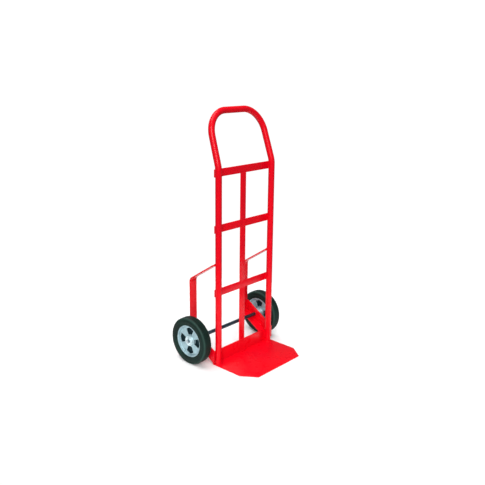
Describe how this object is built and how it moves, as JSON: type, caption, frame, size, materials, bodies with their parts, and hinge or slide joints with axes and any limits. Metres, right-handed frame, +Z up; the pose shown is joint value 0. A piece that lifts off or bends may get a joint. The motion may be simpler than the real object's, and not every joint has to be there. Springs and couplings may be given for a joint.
{
  "type": "hand truck",
  "caption": "Upright two-wheeled hand truck: bent tube frame with a loop handle, flat crossbars, toe plate, strap wheel guards and rubber-tyred wheels on a fixed axle.",
  "frame": {"origin": "on the floor, midway between the two sides and midway between the toe plate's front edge and the back of the tyres", "axes": "+Z up, -Y towards the toe plate's front edge, +Y towards the wheels, +X to the right when looking along +Y at the toe plate"},
  "size_m": [0.495, 0.401, 1.0613],
  "materials": {
    "red_paint": "glossy red enamel over steel",
    "tyre_rubber": "matt black rubber",
    "hub_casting": "cast and machined, satin",
    "axle_steel": "cold-drawn bar, lightly oiled",
    "zinc_steel": "bright zinc plate"
  },
  "bodies": {
    "root": {"frame_tube": "red_paint", "crossbar_top": "red_paint", "crossbar_middle": "red_paint", "crossbar_lower": "red_paint", "center_strap_upper": "red_paint", "center_strap_middle": "red_paint", "center_strap_lower": "red_paint", "toe_plate": "red_paint", "left_wheel_guard": "red_paint", "right_wheel_guard": "red_paint", "left_axle_plate": "red_paint", "right_axle_plate": "red_paint", "axle": "axle_steel", "left_bearing_spacer": "axle_steel", "left_inner_washer": "zinc_steel", "left_outer_washer": "zinc_steel", "left_cotter_pin": "zinc_steel", "right_bearing_spacer": "axle_steel", "right_inner_washer": "zinc_steel", "right_outer_washer": "zinc_steel", "right_cotter_pin": "zinc_steel"},
    "left_wheel": {"left_tyre": "tyre_rubber", "left_hub": "hub_casting", "left_inner_bearing": "zinc_steel", "left_outer_bearing": "zinc_steel"},
    "right_wheel": {"right_tyre": "tyre_rubber", "right_hub": "hub_casting", "right_inner_bearing": "zinc_steel", "right_outer_bearing": "zinc_steel"}
  },
  "joints": [
    {"name": "left_wheel_spin", "type": "hinge", "parent": "root", "child": "left_wheel", "pos_m": [-0.223, 0.0989, 0.1016], "axis": [1, 0, 0], "continuous": true},
    {"name": "right_wheel_spin", "type": "hinge", "parent": "root", "child": "right_wheel", "pos_m": [0.223, 0.0989, 0.1016], "axis": [1, 0, 0], "continuous": true}
  ]
}
